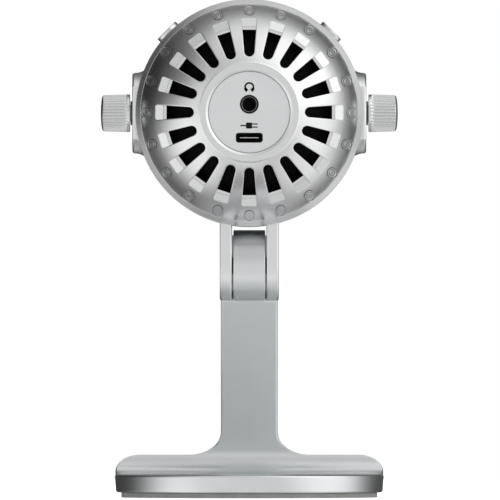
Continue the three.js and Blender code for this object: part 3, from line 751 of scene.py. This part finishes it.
def pierced(outlines, near, far, edge):
    """A plate between two Y planes, from outlines in (x, z): first the rim, then the holes."""
    curve = bpy.data.curves.new("stamping", "CURVE")
    curve.dimensions = "2D"
    curve.fill_mode = "BOTH"
    for outline in outlines:
        spline = curve.splines.new("POLY")
        spline.points.add(len(outline) - 1)
        spline.use_cyclic_u = True
        for point, (a, b) in zip(spline.points, outline):
            point.co = (a, b, 0, 1)
    curve.extrude = (far - near) / 2 - edge
    curve.bevel_depth = edge
    curve.bevel_resolution = 2
    curve.offset = -edge
    holder = bpy.data.objects.new("stamping", curve)
    bpy.context.scene.collection.objects.link(holder)
    mesh = bpy.data.meshes.new_from_object(holder.evaluated_get(bpy.context.evaluated_depsgraph_get()))
    bpy.data.objects.remove(holder)
    bm = bmesh.new()
    bm.from_mesh(mesh)
    bmesh.ops.remove_doubles(bm, verts=bm.verts, dist=1e-7)
    bm.transform(Matrix(((1, 0, 0, 0), (0, 0, 1, (near + far) / 2), (0, 1, 0, 0), (0, 0, 0, 1))))
    bmesh.ops.recalc_face_normals(bm, faces=bm.faces)
    return bm


def painted_metal(name, tone, rough, metal=0.0, shine=0.5):
    """Smooth sprayed paint or moulding: even colour, the least orange peel and a few faint dust specks."""
    coat = Coat(name)
    coat.tint(coat.noise(120.0, 3.0), toned(tone, 0.96), toned(tone, 1.03))
    coat.raise_grain(coat.noise(1500.0, 2.0), 0.1, 0.04 * MM)
    return coat.finish(Roughness=rough, Metallic=metal, Specular_IOR_Level=shine)


plate = pierced([arc(0, 0, PLATE_RADIUS, 0, 357.5, 143), pill(USB_HALF, USB_TALL, 1.0 * MM, USB_UP),
                 arc(0, JACK_UP, 3.3 * MM, 0, 350, 35)], PLATE_FACE, PLATE_BACK, 0.1 * MM)
make_piece(at(HEAD, plate), "port_plate_painted", "head",
           painted_metal("silver port paint", (0.66, 0.67, 0.675), 0.45, 0.35), ["port_plate"])

MARK_THICK = 0.04 * MM
MARK_UP = 8.75 * MM
PLUG_UP = -4.7 * MM


def thick_line(points, width):
    """The outline of a line of even width through the points."""
    left, right = [], []
    for i, point in enumerate(points):
        before = Vector(points[max(i - 1, 0)])
        after = Vector(points[min(i + 1, len(points) - 1)])
        side = (after - before).normalized().orthogonal() * width / 2
        left.append(tuple(Vector(point) + side))
        right.append(tuple(Vector(point) - side))
    return left + right[::-1]


def bar(left, low, right, high):
    return [(left * MM, low * MM), (right * MM, low * MM), (right * MM, high * MM), (left * MM, high * MM)]


headband = thick_line(arc(0, MARK_UP, 1.46 * MM, 232, -52, 28), 0.62 * MM)
cups = [thick_line(arc(0, MARK_UP, 1.44 * MM, start, start + 46, 6), 1.05 * MM) for start in (196, -62)]
plug_body = [(x - 0.1 * MM, z) for x, z in pill(1.05 * MM, 1.05 * MM, 0.3 * MM, PLUG_UP)]
plug_prongs = [[(x, z + PLUG_UP) for x, z in bar(0.9, low, 2.9, low + 0.4)] for low in (-0.74, 0.34)]
plug_cord = [(x, z + PLUG_UP) for x, z in bar(-3.1, -0.22, -1.0, 0.22)]
printed_ink = painted_metal("printed dark ink", (0.006, 0.006, 0.0065), 0.75, 0.0, 0.15)
MARKS = {"headphone_mark": [headband, *cups], "plug_mark": [plug_body, *plug_prongs, plug_cord]}
for name, outlines in MARKS.items():
    mark = bmesh.new()
    for outline in outlines:
        add_copies(mark, pierced([outline], PLATE_FACE - MARK_THICK, PLATE_FACE + MARK_THICK, 0.005 * MM))
    make_piece(at(HEAD, mark), name, "head", printed_ink)


# ---------------------------------------- sockets
# A USB-C receptacle with its drawn steel shell and moulded tongue, and a headphone jack whose threaded bush
# shows as a metal ring in a black one. The shell's near-black colour is painted shade in the socket's slot, and
# the black ring round the jack's metal ring is painted shade of the gap about it, made as a black moulding.
# Both are soldered to a small board behind the plate.

USB_LOW, USB_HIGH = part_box("usb_shell")
USB_BACK = USB_HIGH.y - 1.2 * MM
shell_outer = pill(4.62 * MM, 1.64 * MM, 0.95 * MM, USB_UP)
shell_inner = pill(4.3 * MM, 1.34 * MM, 0.75 * MM, USB_UP)
shell_back = pill(4.5 * MM, 1.5 * MM, 0.85 * MM, USB_UP)
shell = join_solids(pierced([shell_outer, shell_inner], USB_LOW.y, USB_HIGH.y, 0.06 * MM),
                    pierced([shell_back], USB_BACK, USB_HIGH.y - 0.1 * MM, 0.02 * MM), "UNION")
# The shell's near-black colour is painted shade: it darkens the socket's slot.
make_piece(at(HEAD, shell), "usb_shell_drawn", "head",
           painted_metal("shell painted dark as slot shade", (0.004, 0.004, 0.0042), 0.5, 0.0, 0.15), ["usb_shell"])

TONGUE_TIP = PLATE_FACE + 0.55 * MM
TONGUE_HALF = 0.13 * MM
tongue = pierced([pill(3.3 * MM, TONGUE_HALF, 0.06 * MM, USB_UP)], TONGUE_TIP, USB_BACK - 0.1 * MM, 0.05 * MM)
make_piece(at(HEAD, tongue), "usb_tongue_moulded", "head",
           painted_metal("grey moulded tongue", (0.45, 0.455, 0.46), 0.5), ["usb_tongue"])
contacts = bmesh.new()
CONTACTS = 12
CONTACT_PITCH = 0.5 * MM
CONTACT_HALF = 0.13 * MM
for face in (-1, 1):
    for index in range(CONTACTS):
        left = (index - (CONTACTS - 1) / 2) * CONTACT_PITCH - CONTACT_HALF
        right = left + 2 * CONTACT_HALF
        middle = USB_UP + face * TONGUE_HALF
        low, high = TONGUE_TIP + 0.95 * MM, TONGUE_TIP + 2.85 * MM
        strip = [(left, low), (right, low), (right, high), (left, high)]
        add_copies(contacts, slab(strip, middle - 0.03 * MM, middle + 0.03 * MM, 0.01 * MM, 1))
gold_plate = turned_metal("gold plate", (0.85, 0.66, 0.3), 0.25)
make_piece(at(HEAD, contacts), "usb_contacts", "head", gold_plate)

# The three turned parts of the jack as (radius, depth behind the plate's face, corner radius) in millimetres.
BUSH_PROFILE = ((2.8, 0.5, 0), (2.8, -0.02, 0.06), (3.22, -0.02, 0.1), (3.22, 1.5, 0), (2.3, 1.5, 0),
                (2.3, 0.5, 0))
RING_PROFILE = ((2.42, 1.2, 0), (2.5, 0.12, 0.06), (2.76, 0.02, 0.06), (2.76, 0.48, 0), (2.5, 1.2, 0))
THROAT_PROFILE = ((0, 4.6, 0), (1.75, 4.6, 0), (1.75, 1.0, 0.2), (2.4, 0.3, 0.05), (2.4, 5.0, 0), (0, 5.0, 0))


def jack_part(profile, steps, name, finish, replaced=()):
    corners = [(radius * MM, PLATE_FACE + depth * MM, corner * MM) for radius, depth, corner in profile]
    part = at(HEAD + Vector((0, 0, JACK_UP)), turned(rounded(corners), steps))
    make_piece(part, name, "head", finish, replaced)


# This black serves the real black mouldings, and on the jack's outer ring it is painted shade of the gap round the
# metal ring.
black_moulding_and_gap_shade = painted_metal("black moulding and painted gap shade", (0.002, 0.002, 0.0022), 0.5, 0.0, 0.12)
jack_part(BUSH_PROFILE, 72, "jack_gap_shade_ring", black_moulding_and_gap_shade, ["jack_bush"])
jack_part(RING_PROFILE, 72, "jack_ring", turned_metal("dull jack ring", (0.2, 0.205, 0.21), 0.45))
jack_part(THROAT_PROFILE, 48, "jack_throat", black_moulding_and_gap_shade)


# ---------------------------------------- front grille
# On the speaker's side a turned rim holds a deep-drawn dome of perforated steel sheet. Behind the sheet lies
# a moulded dome of black foam that keeps breath and spit off the capsule.

RIM_RADIUS = 40 * MM
RIM_INNER = 34.8 * MM
RIM_FRONT = 15.1 * MM
front_corners = [(RIM_INNER, -SEAM_Y, 0), (RIM_RADIUS, -SEAM_Y, 0.15 * MM), (RIM_RADIUS, RIM_FRONT, 0.9 * MM),
                 (37.4 * MM, RIM_FRONT, 0.4 * MM), (36.8 * MM, 13.6 * MM, 0.2 * MM),
                 (RIM_INNER, 13.5 * MM, 0)]
make_piece(at(HEAD, turned(rounded(front_corners), ROUND_STEPS)), "front_rim_turned", "head",
           blasted_metal("satin front rim", (0.81, 0.815, 0.82), 0.28), ["front_rim"])

GRILLE_RADIUS = 40.0 * MM
GRILLE_THICK = 0.5 * MM
GRILLE_EDGE = 36.9 * MM
PITCH = 1.55 * MM
HOLE_SHARE = 0.66


def perforated_dome():
    """Hexagonal cells with a hole each, wrapped on the sphere so that the holes keep their pitch."""
    bm = bmesh.new()
    reach = GRILLE_RADIUS * math.asin(GRILLE_EDGE / GRILLE_RADIUS)
    cell = PITCH / math.sqrt(3)
    rows = int(reach / (1.5 * cell)) + 1
    columns = int(reach / PITCH) + 1
    corners = [(math.cos(math.radians(30 + 60 * k)), math.sin(math.radians(30 + 60 * k))) for k in range(6)]
    for row in range(-rows, rows + 1):
        for column in range(-columns, columns + 1):
            a = (column + (row % 2) / 2) * PITCH
            b = row * 1.5 * cell
            away = math.hypot(a, b)
            if away + cell > reach:
                continue
            rim, hole = [[bm.verts.new((a + size * x, b + size * y, 0)) for x, y in corners]
                         for size in (cell, cell * HOLE_SHARE)]
            for k in range(6):
                n = (k + 1) % 6
                bm.faces.new((rim[k], rim[n], hole[n], hole[k]))
    bmesh.ops.remove_doubles(bm, verts=bm.verts, dist=1e-6)
    for vert in bm.verts:
        flat = math.hypot(vert.co.x, vert.co.y)
        angle = flat / GRILLE_RADIUS
        share = GRILLE_RADIUS * math.sin(angle) / flat if flat > 1e-9 else 1
        vert.co = Vector((vert.co.x * share, GRILLE_RADIUS * math.cos(angle), vert.co.y * share))
    bmesh.ops.recalc_face_normals(bm, faces=bm.faces)
    return bm


grille = make_piece(at(HEAD, perforated_dome()), "front_mesh_perforated", "head",
                    turned_metal("grille steel", (0.6, 0.61, 0.62), 0.32), ["front_mesh"])
thicken = grille.modifiers.new("sheet", "SOLIDIFY")
thicken.thickness = GRILLE_THICK
grille.modifiers.move(1, 0)
edge_band = dome_shell(GRILLE_RADIUS + 0.1 * MM, GRILLE_RADIUS - 0.7 * MM, 34.9 * MM, 37.2 * MM, 1, 6)
make_piece(at(HEAD, turned(edge_band, ROUND_STEPS)), "front_mesh_hem", "head",
           turned_metal("grille hem steel", (0.62, 0.63, 0.64), 0.3))


def open_foam(name, tone):
    """Open-cell foam: a dark sponge of fine irregular pores."""
    coat = Coat(name)
    cells = coat.node("ShaderNodeTexVoronoi", Vector=coat.place, Scale=1600.0).outputs["Distance"]
    coat.tint(cells, GAP_BLACK, tone)
    coat.raise_grain(cells, 0.8, 0.3 * MM)
    return coat.finish(Roughness=1.0)


FOAM_OUTER = 38.6 * MM
FOAM_INNER = 35.0 * MM
foam_skin = dome_shell(FOAM_OUTER, FOAM_INNER, 0.0, 33.8 * MM, 1, 24)
front_foam = make_piece(at(HEAD, turned(foam_skin, 120)), "front_foam_moulded", "head",
                        open_foam("black grille foam", (0.03, 0.03, 0.03)), ["front_foam"])


# ---------------------------------------- knobs
# Two turned aluminium knobs with a smooth collar and thirty-four milled flutes, pressed on the shafts of the
# rotary controls inside the head.

KNOB_START = 41.9 * MM
KNOB_END = 52.2 * MM
KNOB_RADIUS = 6.58 * MM
KNOB_TIP = 6.33 * MM
KNOB_EDGE = 0.3 * MM
COLLAR = 1.25 * MM
FLUTES = 34
FLUTE_STEPS = 12
FLUTE_DEEP = 0.72 * MM
FLUTE_ROWS = 10
DOMED = 0.75 * MM


def knob_blank():
    """Rows of points along the knob, each a circle cut by the flutes where the cutter has passed."""
    rows = [(0, KNOB_START, 0), (5.6 * MM, KNOB_START, 0)]
    collar_edge = arc(KNOB_RADIUS - KNOB_EDGE, KNOB_START + KNOB_EDGE, KNOB_EDGE, -90, 0, 4)
    rows += [(r, a, 0) for r, a in collar_edge]
    rows += [(KNOB_RADIUS, KNOB_START + COLLAR - KNOB_EDGE, 0)]
    slope = (KNOB_TIP - KNOB_RADIUS) / (KNOB_END - KNOB_START)
    last = KNOB_END - DOMED - 0.45 * MM
    for i in range(FLUTE_ROWS + 1):
        along = KNOB_START + COLLAR + (last - KNOB_START - COLLAR) * i / FLUTE_ROWS
        rows.append((KNOB_RADIUS + slope * (along - KNOB_START), along, 0.4 if i == 0 else 1))
    edge = arc(KNOB_TIP - 0.5 * MM, last, 0.5 * MM, 12, 66, 5)
    rows += [(r, a, depth) for (r, a), depth in zip(edge, (0.9, 0.55, 0.2, 0, 0, 0))]
    rim, start = edge[-1]
    for i in range(1, 8):
        turn = math.pi / 2 * i / 8
        rows.append((rim * math.cos(turn), start + (KNOB_END - start) * math.sin(turn), 0))
    rows.append((0, KNOB_END, 0))
    steps = FLUTES * FLUTE_STEPS
    bm = bmesh.new()
    rings = []
    for radius, along, depth in rows:
        if radius == 0:
            rings.append([bm.verts.new((along, 0, 0))] * steps)
            continue
        ring = []
        for i in range(steps):
            share = (i % FLUTE_STEPS) / FLUTE_STEPS
            r = radius - FLUTE_DEEP * depth * abs(math.cos(math.pi * share)) ** 2.4
            t = 2 * math.pi * i / steps
            ring.append(bm.verts.new((along, r * math.cos(t), r * math.sin(t))))
        rings.append(ring)
    for near, far in zip(rings, rings[1:]):
        for i in range(steps):
            j = (i + 1) % steps
            bm.faces.new(list(dict.fromkeys((near[i], near[j], far[j], far[i]))))
    bmesh.ops.recalc_face_normals(bm, faces=bm.faces)
    return bm


knob_metal = turned_metal("turned knob aluminium", (0.82, 0.825, 0.825), 0.24)
for side, sign in (("left", -1), ("right", 1)):
    blank = at(HEAD, knob_blank(), Matrix.Rotation(0 if sign > 0 else math.pi, 4, "Z"))
    make_piece(blank, f"knob_{side}_fluted", f"knob_{side}", knob_metal,
               [f"knob_{side}"], 50)


# ---------------------------------------- buttons
# Two turned aluminium caps, sprung, that slide in close bores in the band. A flange inside the band stops
# each, and its top is turned a little hollow for the finger.

BUTTON_RADIUS = 4.45 * MM
BUTTON_TOP = 41.2 * MM
BUTTON_FOOT = 35.2 * MM
BUTTON_FLANGE = 5.25 * MM
FLANGE_TOP = BUTTON_FOOT + 0.8 * MM
button_corners = [(0, BUTTON_FOOT, 0), (BUTTON_FLANGE, BUTTON_FOOT, 0), (BUTTON_FLANGE, FLANGE_TOP, 0),
                  (BUTTON_RADIUS, FLANGE_TOP, 0), (BUTTON_RADIUS, BUTTON_TOP, 0.35 * MM),
                  (3.2 * MM, BUTTON_TOP, 0.5 * MM), (2.2 * MM, BUTTON_TOP - 0.12 * MM, 0.5 * MM),
                  (0, BUTTON_TOP - 0.18 * MM, 0)]
button_metal = turned_metal("turned button aluminium", (0.8, 0.805, 0.81), 0.25)
for side, turn in BUTTON_TURNS.items():
    cap = at(HEAD, turned(rounded(button_corners), 96), turn @ ALONG_X)
    make_piece(cap, f"button_{side}_cap", f"button_{side}", button_metal,
               [f"button_{side}"])


# ---------------------------------------- parts inside
# The bolt, nut and washers of the hinge, the capsule in its rubber ring and cradle, the chassis, boards,
# switches and controls. They are made as drawn, and get the finish of what each is made of.

INNER_FINISHES = {
    "bronze": turned_metal("bearing bronze", (0.55, 0.36, 0.18), 0.4),
    "steel": plated_steel,
    "nylon": painted_metal("dark nylon", (0.03, 0.031, 0.033), 0.5),
    "grey_plastic": painted_metal("grey moulding", (0.09, 0.095, 0.1), 0.5),
    "black_plastic": black_moulding_and_gap_shade,
    "board": painted_metal("green solder resist", (0.03, 0.16, 0.07), 0.35),
    "black_rubber": soft_rubber("black rubber", (0.02, 0.02, 0.02)),
    "brass": turned_metal("turned brass", (0.72, 0.55, 0.26), 0.3),
    "gold": gold_plate,
}
slots_of = {entry["node"]: entry["material_slot"] for entry in frame["record"]["subparts"]}
blackened_steel = turned_metal("blackened steel", (0.1, 0.1, 0.105), 0.4)
for name, node in frame["nodes"].items():
    if not node.hide_render:
        node.data.materials.clear()
        finish = blackened_steel if name.startswith("control") else INNER_FINISHES[slots_of[name]]
        node.data.materials.append(finish)


# ---------------------------------------- studio
# A plain pale floor under a white surround, with soft boxes at both sides and low in front, shaded parts
# between them, and a long lens that hardly shows depth.

floor_mesh = bmesh.new()
FLOOR_RADIUS = 0.9
bmesh.ops.create_circle(floor_mesh, cap_ends=True, segments=128, radius=FLOOR_RADIUS)
floor_data = bpy.data.meshes.new("floor")
floor_mesh.to_mesh(floor_data)
floor = bpy.data.objects.new("floor", floor_data)
bpy.context.scene.collection.objects.link(floor)
floor.visible_glossy = False
floor_coat = Coat("pale floor")
floor_paint = floor_coat.finish(Base_Color=(0.9, 0.9, 0.9, 1), Roughness=1.0, Specular_IOR_Level=0.0,
                                Emission_Color=(1, 1, 1, 1), Emission_Strength=0.8)
floor_data.materials.append(floor_paint)


def compass(azimuth, elevation):
    """A direction: azimuth 0 is towards the camera's side, 90 to the right, 180 behind the microphone."""
    a, e = math.radians(azimuth), math.radians(elevation)
    return (math.sin(a) * math.cos(e), -math.cos(a) * math.cos(e), math.sin(e))


AMBIENT = 0.7
# Each glow or shadow: its direction, the angles where it starts to fade and ends, and its change.
GLOWS = (
    (compass(70, 10), 15, 50, 0.65),
    (compass(66, 44), 12, 48, 0.6),
    (compass(10, 84), 10, 46, 0.26),
    (compass(-110, 26), 12, 50, -0.5),
    (compass(-82, -34), 12, 48, 0.6),
    (compass(0, -86), 12, 38, -0.36),
    (compass(0, -49), 5, 22, 0.42),
    (compass(84, -46), 8, 40, 0.42),
    (compass(0, -12), 8, 40, 0.26),
    (compass(-48, 4), 6, 36, 0.32),
)
# The same for the white desk and walls that show behind the microphone, past the dark side of the studio.
FAR_GLOWS = (
    (compass(180, -55), 4, 32, 0.5),
    (compass(-122, -30), 4, 34, 0.1),
    (compass(-165, 62), 10, 46, 0.15),
    (compass(120, -36), 4, 30, 0.28),
)
world = bpy.data.worlds.new("studio")
bpy.context.scene.world = world
world.use_nodes = True
sky = world.node_tree
sky.nodes.clear()


way = add_node(sky, "ShaderNodeTexCoord").outputs["Generated"]


def facing(direction, start, stop):
    """From 1 within start degrees of a direction to 0 beyond stop degrees of it."""
    dot = add_node(sky, "ShaderNodeVectorMath", i0=way, i1=direction)
    dot.operation = "DOT_PRODUCT"
    ramp = add_node(sky, "ShaderNodeMapRange", Value=dot.outputs["Value"],
                    From_Min=math.cos(math.radians(stop)), From_Max=math.cos(math.radians(start)))
    ramp.interpolation_type = "SMOOTHSTEP"
    return ramp.outputs["Result"]


level = AMBIENT
for direction, start, stop, change in GLOWS:
    level = maths(sky, "MULTIPLY_ADD", facing(direction, start, stop), change, level)
DARK_SHARE = 0.93
behind = facing(compass(-174, -4), 46, 94)
level = maths(sky, "MULTIPLY", level, maths(sky, "MULTIPLY_ADD", behind, -DARK_SHARE, 1.0))
for direction, start, stop, change in FAR_GLOWS:
    level = maths(sky, "MULTIPLY_ADD", facing(direction, start, stop), change, level)
reflected = add_node(sky, "ShaderNodeBackground", Strength=level).outputs["Background"]
seen = add_node(sky, "ShaderNodeBackground", Strength=1.0, Color=(1, 1, 1, 1)).outputs["Background"]
eye = add_node(sky, "ShaderNodeLightPath").outputs["Is Camera Ray"]
pick = add_node(sky, "ShaderNodeMixShader", i0=eye, i1=reflected, i2=seen)
add_node(sky, "ShaderNodeOutputWorld", Surface=pick.outputs["Shader"])

lens = bpy.data.cameras.new("long lens")
lens.lens = 1500
lens.sensor_width = 36
lens.clip_start = 0.5
lens.clip_end = 20
camera = bpy.data.objects.new("camera", lens)
bpy.context.scene.collection.objects.link(camera)
FRAME_WIDE = 175.8 * MM
FRAME_MIDDLE = 87.0 * MM
CAMERA_UP = 60 * MM
away = FRAME_WIDE * lens.lens / lens.sensor_width
camera.location = (0.25 * MM, -away, CAMERA_UP)
camera.rotation_euler = (math.radians(90) + math.atan2(FRAME_MIDDLE - CAMERA_UP, away), 0, 0)
bpy.context.scene.camera = camera
